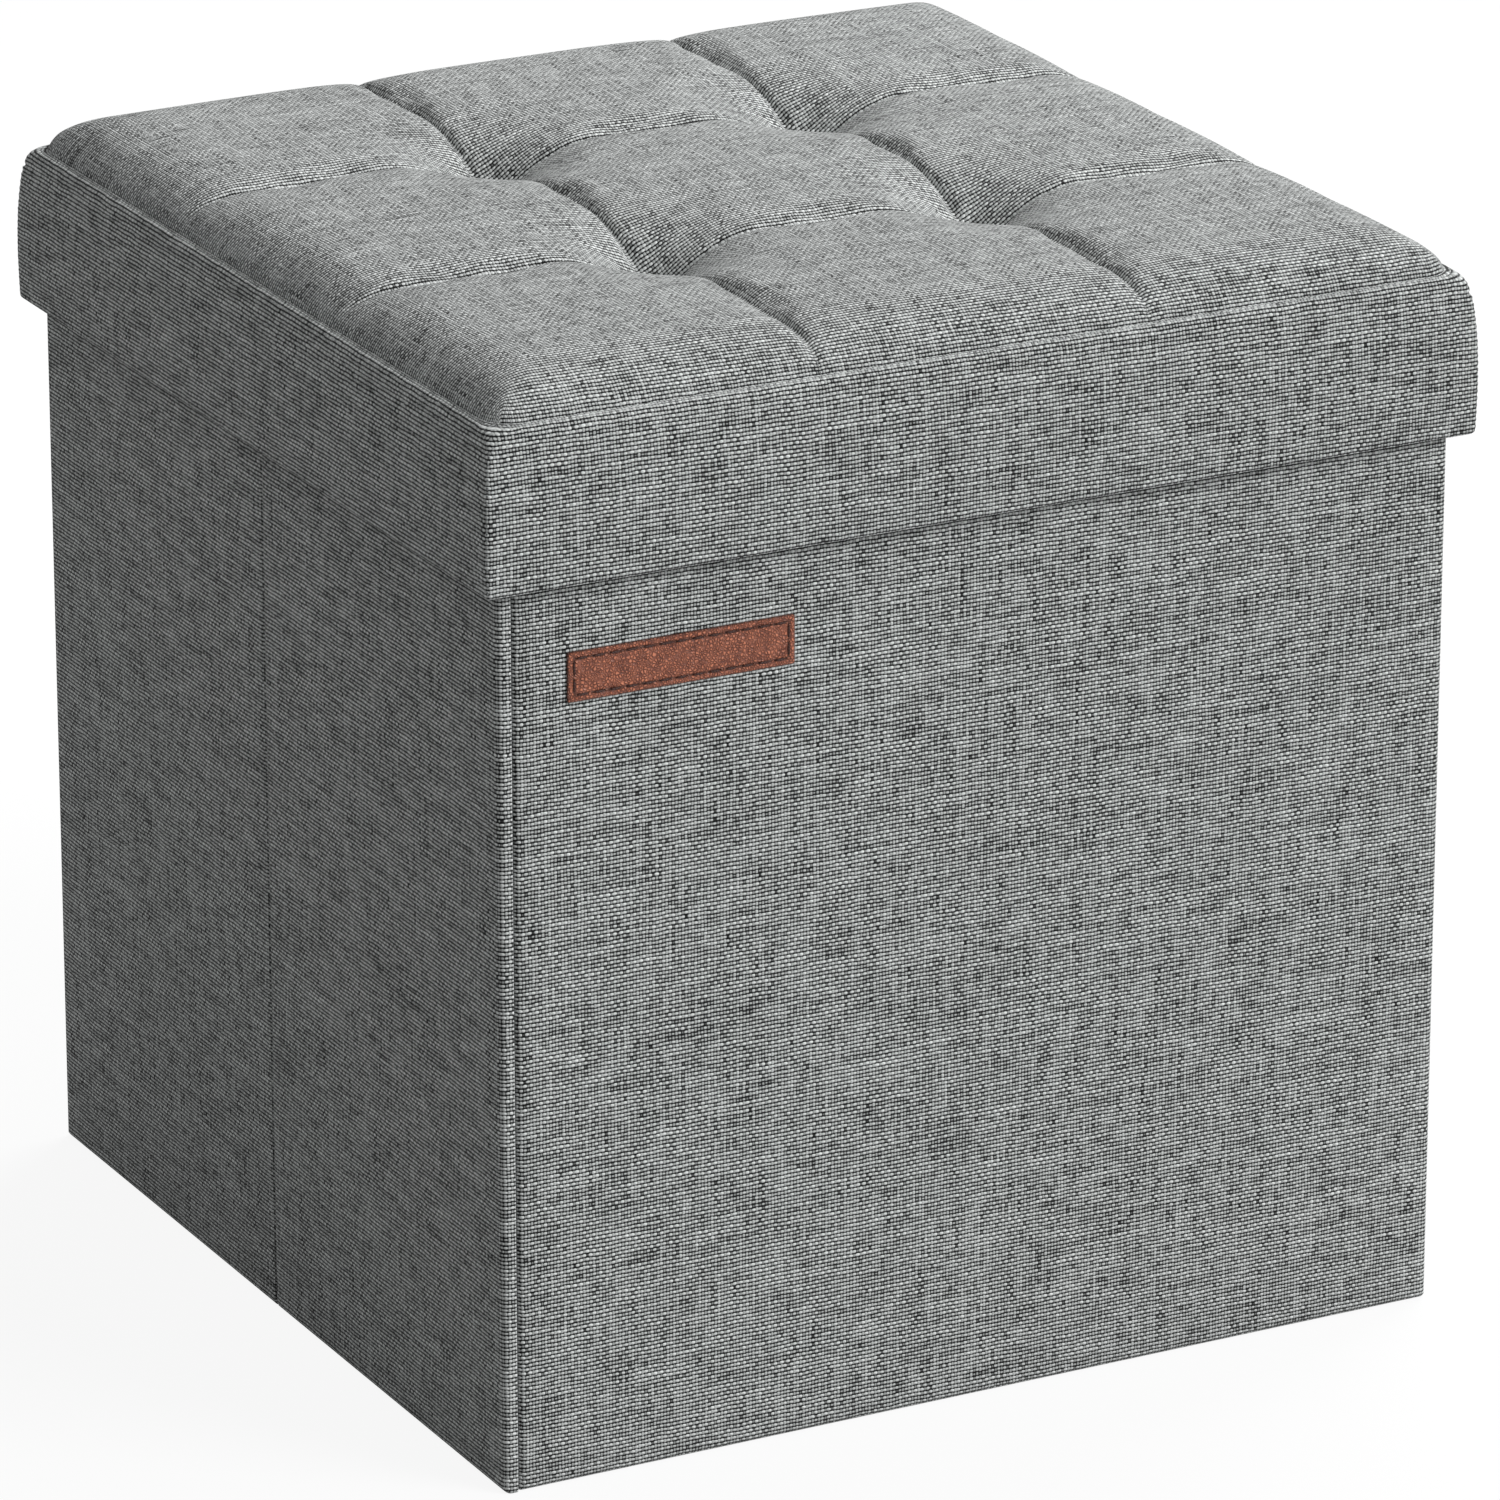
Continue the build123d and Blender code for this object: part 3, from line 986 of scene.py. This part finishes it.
@dataclass
class LabelStrap(SubAssembly):
    """The bare leather label: a flat strap with a pressed stitch groove and needle holes."""

    # The attribute that sinks the leather and paints shade into its holes, groove and rolled edge.
    SINK_AND_SHADE = "groove_depth"

    cell: float = 0.45 * MM
    groove_inset: float = 2.4 * MM
    groove_width: float = 0.7 * MM
    groove_depth: float = 0.3 * MM
    hole_radius: float = 0.7 * MM
    hole_depth: float = 0.5 * MM
    edge_round: float = 0.9 * MM
    edge_share: float = 0.75
    corner_radius: float = 0.8 * MM
    unevenness: float = 0.07 * MM
    uneven_rate: float = 260.0
    stitch_length: float = 4.2 * MM
    stitch_pitch: float = 6.2 * MM
    thread_width: float = 1.0 * MM
    thread_rise: float = 0.38 * MM
    thread_lift: float = 0.1 * MM

    def stitches(self, size: Vector) -> list[tuple[Vector, Vector]]:
        """Lists the stitches, from the label's middle.

        Args:
            size: The label's width and height, as X and Z.

        Returns:
            Each stitch's middle, and the way from there to its end.
        """
        found = []
        for run_axis, across_axis in ((0, 2), (2, 0)):
            run = size[run_axis] - 2 * self.groove_inset
            count = round(run / self.stitch_pitch)
            reach = Vector((0, 0, 0))
            reach[run_axis] = self.stitch_length / 2
            for index in range(count):
                for side in (-1, 1):
                    middle = Vector((0, 0, 0))
                    middle[run_axis] = (index + 0.5) * run / count - run / 2
                    middle[across_axis] = side * (size[across_axis] / 2 - self.groove_inset)
                    found.append((middle, reach))
        return found

    def build(self) -> None:
        """Builds the strap and its stitching."""
        low, high = node_box("leather_label")
        size, middle = high - low, (low + high) / 2
        stitches = self.stitches(size)
        holes = [place + sign * reach for place, reach in stitches for sign in (-1, 1)]
        shape = bmesh.new()
        columns, rows = round(size.x / self.cell), round(size.z / self.cell)
        bmesh.ops.create_grid(shape, x_segments=columns, y_segments=rows, size=1.0)
        bmesh.ops.scale(shape, vec=(size.x / 2, size.z / 2, 1), verts=shape.verts)
        bmesh.ops.rotate(shape, matrix=Matrix.Rotation(math.radians(90), 3, "X"), verts=shape.verts)
        rim = [edge for edge in shape.edges if edge.is_boundary]
        depth = shape.verts.layers.float.new(self.SINK_AND_SHADE)
        for vert in shape.verts:
            vert[depth] = self.sink(vert.co, size, holes)
            vert.co.y += vert[depth] * self.hole_depth
            vert.co.y -= self.unevenness * noise.noise(vert.co * self.uneven_rate)
        back, rim = extrude(shape, rim)
        for vert in back:
            vert.co.y = size.y
        bmesh.ops.holes_fill(shape, edges=rim)
        for vert in shape.verts:
            vert.co = round_corner(vert.co, (size.x / 2, size.z / 2), self.corner_radius, (0, 2))
        bmesh.ops.recalc_face_normals(shape, faces=shape.faces)
        bmesh.ops.translate(shape, vec=(middle.x, low.y, middle.z), verts=shape.verts)
        self.dressing.dress(piece_from(shape, "label_strap"), Slot.LEATHER, "front_wall", "leather_label")
        thread = bmesh.new()
        front = Vector((middle.x, low.y + self.thread_lift, middle.z))
        for place, reach in stitches:
            add_stitch(thread, front + place, reach, Side.FRONT.outward, self.thread_width, self.thread_rise)
        piece = piece_from(thread, "label_thread")
        self.dressing.dress(piece, Slot.LABEL_THREAD, "front_wall", "label_stitching")

    def sink(self, place: Vector, size: Vector, holes: list[Vector]) -> float:
        """Gives how far the leather is pressed in at a point, as a share of a hole's depth. The same share
        paints shade into the leather's colour.

        Args:
            place: The point, from the label's middle.
            size: The label's width and height, as X and Z.
            holes: The needle holes.

        Returns:
            The share, from 0 to 1.
        """
        edge = min(size.x / 2 - abs(place.x), size.z / 2 - abs(place.z))
        groove = max(0.0, 1 - (abs(edge - self.groove_inset) / self.groove_width) ** 2)
        gap = min(math.hypot(place.x - centre.x, place.z - centre.z) for centre in holes)
        hole = max(0.0, 1 - (gap / self.hole_radius) ** 2)
        # The rolled edge is pressed in and painted darker: part burnished border, part painted shade.
        rolled = max(0.0, 1 - edge / self.edge_round) ** 2 * self.edge_share
        return max(groove * self.groove_depth / self.hole_depth, hole, rolled)


# ---------------------------------------------------------------- lid


@dataclass
class LidShell(SubAssembly):
    """The cloth round the lid's sides, its seam ridge and the lining under it."""

    cloth: float = 0.8 * MM
    corner_radius: float = 1.8 * MM
    low_round: float = 1.6 * MM
    low_steps: int = 5
    lean_mm: tuple[Pair, ...] = (
        (0.15, 0.25), (0.3, 0.45), (0.45, 0.35), (0.58, 0.0), (0.7, -0.5), (0.8, -1.1), (0.865, -1.7),
        (0.885, -2.1), (0.905, -1.95), (0.94, -2.3), (0.97, -2.9), (0.99, -3.7), (1.0, -4.8))
    ridge_inset: float = 5.1 * MM
    ridge_radius: float = 0.45 * MM
    ridge_sink: float = 0.1 * MM
    ridge_steps: int = 7
    ridge_gap: float = 1.5
    ridge_angles: tuple[Pair, Pair] = ((-60, 150), (60, 240))
    pitch: float = 9.0 * MM
    stitch_pitch: float = 2.6 * MM
    stitch_share: float = 0.28
    stitched_share: float = 0.88
    thread_width: float = 0.8 * MM
    thread_rise: float = 0.2 * MM
    tray_round: float = 0.5 * MM
    tray_segments: int = 3
    tray_pitch: float = 14.0 * MM

    def __post_init__(self) -> None:
        """Reads the outline and the heights from the CAD boxing."""
        self.low, self.high = node_box("lid_boxing")
        self.half = Vector((self.high.x, self.high.y, 0))
        self.tall = self.high.z - self.low.z
        self.lean = [(share, out * MM) for share, out in self.lean_mm]

    def boxing(self) -> None:
        """Builds the side cloth, turned under the skirt and rolled in to the top seam."""
        flange = node_box("lid_board")[1].x - self.half.x
        bottom = self.low.z
        profile = [(flange, bottom)]
        profile += arc((-self.low_round, bottom + self.low_round), self.low_round, -90, 0, self.low_steps)
        profile += [(out, bottom + share * self.tall) for share, out in self.lean]
        shape = sweep_band(self.half, self.corner_radius, profile, False, self.pitch)
        piece = piece_from(shape, "boxing_cloth")
        thicken(piece, self.cloth)
        self.dressing.dress(piece, Slot.LINEN, "lid", "lid_boxing")

    def ridge(self) -> None:
        """Builds the double ridge of the sewn edge, where the seam's two layers stand up."""
        radius, profile = self.ridge_radius, []
        for layer, (start, end) in enumerate(self.ridge_angles):
            out = -self.ridge_inset - layer * self.ridge_gap * radius
            profile += arc((out, self.high.z - self.ridge_sink), radius, start, end, self.ridge_steps)
        shape = sweep_band(self.half, self.corner_radius, profile, True, self.pitch)
        self.dressing.dress(piece_from(shape, "seam_ridge"), Slot.LINEN, "lid", "lid_welt")

    def corner_stitching(self) -> None:
        """Builds the small stitches that show in the boxing's upright corner seams."""
        shape = bmesh.new()
        start, end = self.low.z + self.low_round, self.low.z + self.stitched_share * self.tall
        count = round((end - start) / self.stitch_pitch)
        reach = Vector((0, 0, self.stitch_share * self.stitch_pitch))
        for corner in ((-1, -1), (-1, 1), (1, -1), (1, 1)):
            normal = Vector((*corner, 0)).normalized()
            for index in range(count):
                height = start + (end - start) * (index + 0.5) / count
                lean = self.lean_at(height)
                wide = corner_size(self.corner_radius, lean)
                away = math.sqrt(2) * (self.half.x + lean - wide) + wide
                add_stitch(shape, normal * away + Vector((0, 0, height)), reach, normal, self.thread_width,
                           self.thread_rise)
        self.dressing.dress(piece_from(shape, "boxing_corner_stitches"), Slot.TUFT_CORD, "lid")

    def lean_at(self, height: float) -> float:
        """Gives how far out of its outline the side cloth stands at a height.

        Args:
            height: The height.

        Returns:
            The distance, negative for inwards.
        """
        share = (height - self.low.z) / self.tall
        points = [(self.low_round / self.tall, 0.0), *self.lean]
        for (start, out), (end, next_out) in zip(points, points[1:]):
            if share <= end:
                return out + (next_out - out) * (share - start) / (end - start)
        return points[-1][1]

    def underside(self) -> None:
        """Builds the lining: a shallow tray under the board and inside the skirt."""
        low, high = node_box("lid_lining")
        low += Vector((self.cloth, self.cloth, 0))
        high -= Vector((self.cloth, self.cloth, self.cloth))
        shape = box_mesh(low, high)
        ceiling = [edge for edge in shape.edges if all(abs(vert.co.z - high.z) < TINY for vert in edge.verts)]
        round_off(shape, ceiling, self.tray_round, self.tray_segments)
        floor = [face for face in shape.faces if abs(face.calc_center_median().z - low.z) < TINY]
        bmesh.ops.delete(shape, geom=floor, context="FACES")
        cut_grid(shape, low, high, (0, 1), self.tray_pitch)
        bmesh.ops.reverse_faces(shape, faces=shape.faces)
        lay_cloth(shape)
        piece = piece_from(shape, "lid_inside")
        thicken(piece, self.cloth)
        self.dressing.dress(piece, Slot.LINING, "lid", "lid_lining")

    def build(self) -> None:
        """Builds the shell and finishes the stiff parts inside it."""
        self.boxing()
        self.ridge()
        self.corner_stitching()
        self.underside()
        rails = [f"lid_{side.name.lower()}_rail" for side in Side]
        self.dressing.dress_solids(Slot.BOARD, "lid_board", *rails)
        self.dressing.dress_solids(Slot.WASHER, "tuft_washers")
        self.dressing.dress_solids(Slot.TUFT_CORD, "tuft_ties")


@dataclass(frozen=True)
class Pinch:
    """The cross-section of one sewn line: a sharp nip with a softer dip round it."""

    nip: float
    nip_width: float
    dip: float
    dip_width: float

    def depth(self, away: float) -> float:
        """Gives how far the cloth is drawn down at a distance from the line."""
        return self.nip * math.exp(-away / self.nip_width) + self.dip * math.exp(-away / self.dip_width)


@dataclass
class TuftedCushion(SubAssembly):
    """The padded top: cloth over foam, pulled down at four points and sewn down along four lines."""

    seam_inset: float = 5.2 * MM
    seam_drop: float = 0.5 * MM
    spacing: float = 126.0 * MM
    roll_width: float = 28.0 * MM
    roll_steps: int = 12
    corner_radius: float = 11.5 * MM
    corner_power: float = 8.0
    dome: float = 2.4 * MM
    shoulder_drop: float = 0.8 * MM
    crease: Pinch = Pinch(3.2 * MM, 1.4 * MM, 1.5 * MM, 10.0 * MM)
    line: Pinch = Pinch(1.9 * MM, 1.3 * MM, 2.3 * MM, 14.0 * MM)
    pull: float = 25.9 * MM
    pull_reach: Pair = (42.0 * MM, 52.0 * MM)
    pinch_kept: float = 0.25
    floor_gap: float = 1.1 * MM
    floor_round: float = 1.5 * MM
    fade_width: float = 30.0 * MM
    cloth: float = 0.8 * MM
    strips: int = 34
    crowding: float = 0.7
    line_width: float = 0.2 * MM
    puff: float = 0.6 * MM
    pressure: float = 0.6
    slack: float = 0.006
    swell_cap: float = 1.2 * MM
    frames: int = 20
    foam_share: float = 0.995
    foam_drop: float = 1.4 * MM
    foam_inset: float = 1.0 * MM
    foam_shoulder: float = 24.0 * MM
    foam_lift: float = 0.1 * MM
    stitch_pitch: float = 4.6 * MM
    stitch_share: float = 0.34
    thread_width: float = 0.5 * MM
    thread_rise: float = 0.18 * MM
    thread_sink: float = 0.05 * MM

    def __post_init__(self) -> None:
        """Reads the outline and the heights from the CAD cushion."""
        low, high = node_box("lid_top_cover")
        self.half = high.x - self.seam_inset
        self.seam_height = low.z - self.seam_drop
        self.crown = high.z
        self.tie_top = low.z + self.floor_gap
        self.tuft = self.spacing / 2

    def roll(self, place: Vector) -> float:
        """Gives the share of the full rise at a point, from the seam inwards.

        Args:
            place: The point.

        Returns:
            The share, from 0 to 1.
        """
        gaps = [(self.half - abs(part)) / self.roll_width for part in (place.x, place.y)]
        power = self.corner_power
        near = sum(max(0.0, min(1.0, 1 - gap)) ** power for gap in gaps) ** (1 / power)
        past = [abs(part) - self.half + self.corner_radius for part in (place.x, place.y)]
        if min(past) > 0:
            near = max(near, 1 - (self.corner_radius - math.hypot(*past)) / self.roll_width)
        return math.sqrt(1 - min(1.0, near) ** 2)

    def height(self, place: Vector, puff: float) -> float:
        """Gives the cloth's height before it is inflated.

        Args:
            place: The point on the cloth.
            puff: How much lower than its crown each pad starts.

        Returns:
            The height.
        """
        dome = self.dome * (1 - (place.x / self.half) ** 2) * (1 - (place.y / self.half) ** 2)
        crown = self.crown - puff - self.shoulder_drop + dome
        off_crease, off_line = abs(abs(place.x) - self.tuft), abs(abs(place.y) - self.tuft)
        far = math.hypot(off_crease / self.pull_reach[0], off_line / self.pull_reach[1])
        pit = max(0.0, 1 - far) ** 2
        deepest = self.crease.depth(0) + self.line.depth(0)
        pinch = self.crease.depth(off_crease) + self.line.depth(off_line)
        sunk = (self.pull - self.pinch_kept * deepest) * pit + pinch * (1 - (1 - self.pinch_kept) * pit)
        sunk *= math.sin(0.5 * math.pi * self.fade(place))
        height = self.seam_height + (crown - self.seam_height) * self.roll(place) - sunk
        if far < 1:
            # The tie's knot stops the cloth here, with a rounded floor.
            soft = self.floor_round
            height = self.tie_top + soft * math.log1p(math.exp((height - self.tie_top) / soft))
        return height

    def fade(self, place: Vector) -> float:
        """Gives the share of a full shape at a point: none at the edge's roll, and all from there inwards."""
        gap = min(self.half - abs(place.x), self.half - abs(place.y))
        return min(1.0, max(0.0, gap) / self.fade_width)

    def grid(self, puff: float) -> Piece:
        """Builds the cloth with points on all its stitch lines.

        Args:
            puff: How much lower than its crown each pad starts.

        Returns:
            The piece.
        """
        shape = bmesh.new()
        count = 3 * self.strips
        bmesh.ops.create_grid(shape, x_segments=count, y_segments=count, size=1.0)
        for vert in shape.verts:
            vert.co.xy = [self.spread(part) for part in vert.co.xy]
        cloth = shape.loops.layers.uv.new(CLOTH_UV)
        for face in shape.faces:
            for loop in face.loops:
                loop[cloth].uv = [self.cloth_length(part) for part in loop.vert.co.xy]
        for vert in shape.verts:
            vert.co = round_corner(vert.co, (self.half, self.half), self.corner_radius)
            vert.co.z = self.height(vert.co, puff)
        return piece_from(shape, "cushion_cloth")

    def cloth_length(self, value: float) -> float:
        """Gives the length of cloth from the middle line out to a coordinate, over the edge's roll.

        Args:
            value: The coordinate.

        Returns:
            The length, with the coordinate's sign.
        """
        flat = self.half - self.roll_width
        past = max(0.0, min(1.0, (abs(value) - flat) / self.roll_width))
        rise = self.crown - self.seam_height
        length, turn = min(abs(value), flat), math.asin(past)
        for step in range(self.roll_steps):
            angle = (step + 0.5) * turn / self.roll_steps
            slope = math.hypot(self.roll_width * math.cos(angle), rise * math.sin(angle))
            length += slope * turn / self.roll_steps
        return math.copysign(length, value)

    def spread(self, share: float) -> float:
        """Places one grid line, so that the lines crowd together next to the seams.

        Args:
            share: The line's even place, from -1 to 1.

        Returns:
            Its coordinate.
        """
        third = 1 / 3
        central = abs(share) <= third + TINY
        strip = (share + third if central else abs(share) - third) / (2 * third)
        eased = strip - self.crowding * math.sin(2 * math.pi * strip) / (2 * math.pi)
        if central:
            return -self.tuft + 2 * self.tuft * eased
        return math.copysign(self.tuft + (self.half - self.tuft) * eased, share)

    def is_on(self, value: float) -> bool:
        """Tells whether a coordinate lies on a stitch line."""
        return abs(abs(value) - self.tuft) < self.line_width

    def inflate(self, piece: Piece) -> None:
        """Blows the cloth up between its seams and stitch lines, and keeps the result.

        Args:
            piece: The cloth.
        """
        before = [vert.co.copy() for vert in piece.data.vertices]
        edge = self.half - self.line_width
        held = [i for i, place in enumerate(before)
                if max(abs(place.x), abs(place.y)) > edge or self.is_on(place.x) or self.is_on(place.y)]
        group = piece.vertex_groups.new(name="sewn_down")
        group.add(held, 1.0, "REPLACE")
        cloth = piece.modifiers.new("cloth", "CLOTH")
        choices = {"quality": 8, "mass": 0.3, "tension_stiffness": 15, "compression_stiffness": 15,
                   "shear_stiffness": 5, "bending_stiffness": 0.3, "shrink_min": -self.slack,
                   "use_pressure": True, "uniform_pressure_force": self.pressure,
                   "vertex_group_mass": group.name}
        for name, value in choices.items():
            setattr(cloth.settings, name, value)
        cloth.settings.effector_weights.gravity = 0
        cloth.collision_settings.use_collision = False
        cloth.point_cache.frame_start = 1
        cloth.point_cache.frame_end = self.frames
        scene = bpy.context.scene
        for frame_number in range(1, self.frames + 1):
            scene.frame_set(frame_number)
        blown = piece.evaluated_get(bpy.context.evaluated_depsgraph_get())
        after = [vert.co.copy() for vert in blown.data.vertices]
        piece.modifiers.remove(cloth)
        piece.vertex_groups.remove(group)
        largest = max((new - old).length for old, new in zip(before, after))
        for vert, old, new in zip(piece.data.vertices, before, after):
            move = new - old
            if move.length > self.swell_cap:
                move.length = self.swell_cap
            # The edge's roll keeps its own shape, and the swelling grows from there inwards.
            vert.co = old + move * self.fade(old)
        scene.frame_set(1)
        LOG.info("%s: swelled by up to %.1f mm", piece.name, largest / MM)

    def foam(self, cover: Piece) -> None:
        """Builds the foam: the cloth's shape a little lower, carried down to the board.

        Args:
            cover: The finished cloth.
        """
        low, high = node_box("lid_foam")
        shape = bmesh.new()
        shape.from_mesh(cover.data)
        for vert in shape.verts:
            vert.co.xy *= self.foam_share
            vert.co.z -= self.foam_drop
        rim = [edge for edge in shape.edges if edge.is_boundary]
        reach = high.x - self.foam_inset
        for height in (high.z - self.foam_shoulder, low.z + self.foam_lift):
            points, rim = extrude(shape, rim)
            widest = max(abs(vert.co.x) for vert in points)
            for vert in points:
                vert.co = Vector((vert.co.x * reach / widest, vert.co.y * reach / widest, height))
        bmesh.ops.holes_fill(shape, edges=rim)
        bmesh.ops.recalc_face_normals(shape, faces=shape.faces)
        piece = self.dressing.dress(piece_from(shape, "foam_pad"), Slot.FOAM, "lid", "lid_foam")

    def stitching(self, cover: Piece) -> None:
        """Builds the stitches that lie in the cushion's lines.

        Args:
            cover: The finished cloth.
        """
        shape = bmesh.new()
        for axis in (0, 1):
            for sign in (-1, 1):
                line = [vert.co.copy() for vert in cover.data.vertices
                        if abs(vert.co[1 - axis] - sign * self.tuft) < self.line_width]
                line.sort(key=lambda place: place[axis])
                self.sew_along(shape, line)
        self.dressing.dress(piece_from(shape, "quilting_stitches"), Slot.TUFT_CORD, "lid")

    def sew_along(self, shape: Shape, line: list[Vector]) -> None:
        """Adds stitches along one line.

        Args:
            shape: The mesh that gets the stitches.
            line: The line's points in order.
        """
        up = Vector((0, 0, 1))
        travelled, due = 0.0, self.stitch_pitch
        for start, end in zip(line, line[1:]):
            step = (end - start).length
            while travelled + step >= due:
                place = start.lerp(end, (due - travelled) / step) - up * self.thread_sink
                reach = (end - start).normalized() * self.stitch_share * self.stitch_pitch
                add_stitch(shape, place, reach, up, self.thread_width, self.thread_rise)
                due += self.stitch_pitch
            travelled += step

    def build(self) -> None:
        """Builds the cloth, the foam under it and the stitching."""
        cover = self.grid(self.puff)
        self.inflate(cover)
        self.foam(cover)
        self.stitching(cover)
        finer = cover.modifiers.new("finer", "SUBSURF")
        finer.levels = finer.render_levels = 1
        thicken(cover, self.cloth)
        self.dressing.dress(cover, Slot.LINEN, "lid", "lid_top_cover")


# ---------------------------------------------------------------- studio


@dataclass
class Studio:
    """The camera, the pale floor and the soft lights."""

    azimuth: float = -27.792
    elevation: float = 19.928
    lens_mm: float = 229.63
    sensor_mm: float = 36.0
    far_end: float = 60.0
    camera_place: tuple[float, float, float] = (-1.4922, -2.8450, 1.3443)
    key_direction: tuple[float, float, float] = (0.55, -0.70, 0.45)
    key_strength: float = 2.48
    key_angle: float = 30.0
    top_place: tuple[float, float, float] = (1.1, 0.7, 1.5)
    top_size: float = 1.1
    top_power: float = 23.2
    sky_strength: float = 0.365
    floor_half: float = 20.0
    floor_paint: str = "#A4A4A4"
    floor_glow: float = 0.9

    def camera(self) -> None:
        """Places the camera."""
        lens = bpy.data.cameras.new("view")
        lens.lens = self.lens_mm
        lens.sensor_width = self.sensor_mm
        lens.clip_end = self.far_end
        side, up = math.radians(self.azimuth), math.radians(self.elevation)
        away = Vector((math.sin(side) * math.cos(up), -math.cos(side) * math.cos(up), math.sin(up)))
        bpy.context.scene.camera = self.hang(lens, self.camera_place, away)

    def floor(self) -> None:
        """Builds the floor, which looks white to the camera, keeps the shadow and gives back little light."""
        shape = bmesh.new()
        bmesh.ops.create_grid(shape, x_segments=1, y_segments=1, size=self.floor_half)
        floor = piece_from(shape, "floor")
        material = bpy.data.materials.new("matt_painted_floor")
        material.use_nodes = True
        material.node_tree.nodes.clear()
        add = partial(add_node, material.node_tree)
        rays = add("LightPath").node.outputs
        mirrored = add("Math", (rays["Is Glossy Ray"], rays["Is Transmission Ray"]), operation="MAXIMUM")
        seen = add("Math", (rays["Is Camera Ray"], mirrored), operation="MAXIMUM")
        paint = add("Mix", {0: seen, **shades(self.floor_paint, WHITE)}, **COLOURS)
        matt = add("BsdfDiffuse", {"Color": paint})
        glow = add("Emission", {"Color": linear(WHITE), "Strength": 1.0})
        share = add("Math", (seen, self.floor_glow), operation="MULTIPLY")
        add("OutputMaterial", {"Surface": add("MixShader", (share, matt, glow))})
        floor.data.materials.append(material)

    def lights(self) -> None:
        """Adds the soft front lamp, the wide lamp above and behind, and the even sky."""
        lamp = bpy.data.lights.new("soft_key", "SUN")
        lamp.energy = self.key_strength
        lamp.angle = math.radians(self.key_angle)
        self.hang(lamp, (0, 0, 0), Vector(self.key_direction))
        wide = bpy.data.lights.new("overhead_box", "AREA")
        wide.energy = self.top_power
        wide.size = self.top_size
        self.hang(wide, self.top_place, Vector(self.top_place) - Vector((0, 0, CAD_BOX[1][2])))
        world = bpy.data.worlds.new("even_sky")
        bpy.context.scene.world = world
        world.use_nodes = True
        world.node_tree.nodes.clear()
        add = partial(add_node, world.node_tree)
        sky, white = [add("Background", {"Color": linear(WHITE), "Strength": strength})
                      for strength in (self.sky_strength, 1.0)]
        add("OutputWorld", {"Surface": add("MixShader", (add("LightPath", out="Is Camera Ray"), sky, white))})

    def hang(self, thing: bpy.types.ID, place: Iterable[float], towards: Vector) -> Piece:
        """Places a lamp or the camera.

        Args:
            thing: The lamp's or the camera's data.
            place: Where it hangs.
            towards: The direction from the ottoman to it.

        Returns:
            Its object.
        """
        fitting = bpy.data.objects.new(thing.name, thing)
        fitting.location = place
        fitting.rotation_euler = towards.to_track_quat("Z", "Y").to_euler()
        bpy.context.scene.collection.objects.link(fitting)
        return fitting

    def build(self) -> None:
        """Sets up the studio."""
        bpy.context.scene.view_settings.view_transform = "Standard"
        self.camera()
        self.floor()
        self.lights()


def body_parts(dressing: Dressing) -> list[SubAssembly]:
    """Lists the six walls and the six cloth hinges.

    Args:
        dressing: The materials.

    Returns:
        The sub-assemblies.
    """
    walls = [WallPanel(dressing, "front_wall", Side.FRONT), WallPanel(dressing, "back_wall", Side.BACK)]
    hinges = []
    for side in (Side.LEFT, Side.RIGHT):
        word, sign = side.name.lower(), side.sign
        front, rear = f"{word}_front_wall", f"{word}_rear_wall"
        walls += [WallPanel(dressing, name, side, crease_end=end) for name, end in ((front, -1), (rear, 1))]
        # The left walls cover the ends of the front and back walls, which cover the ends of the right ones.
        axis = 0 if side is Side.LEFT else 1
        hinges += [
            ClothHinge(dressing, f"{word}_crease_hinge", Slot.LINEN, front, rear, 1, sign),
            ClothHinge(dressing, f"front_{word}_corner_hinge", Slot.LINING, "front_wall", front, axis, -sign),
            ClothHinge(dressing, f"back_{word}_corner_hinge", Slot.LINING, rear, "back_wall", axis, -1,
                       bends=side is Side.LEFT)]
    return walls + hinges


def main() -> None:
    """Builds the ottoman and its studio."""
    logging.basicConfig(level=logging.INFO, format="%(name)s: %(message)s")
    Studio().build()
    dressing = Dressing()
    others = [kind(dressing) for kind in (SewnBottom, LabelStrap, LidShell, TuftedCushion)]
    for part in body_parts(dressing) + others:
        LOG.info("building %s", type(part).__name__)
        part.build()


if __name__ == "__main__":
    main()
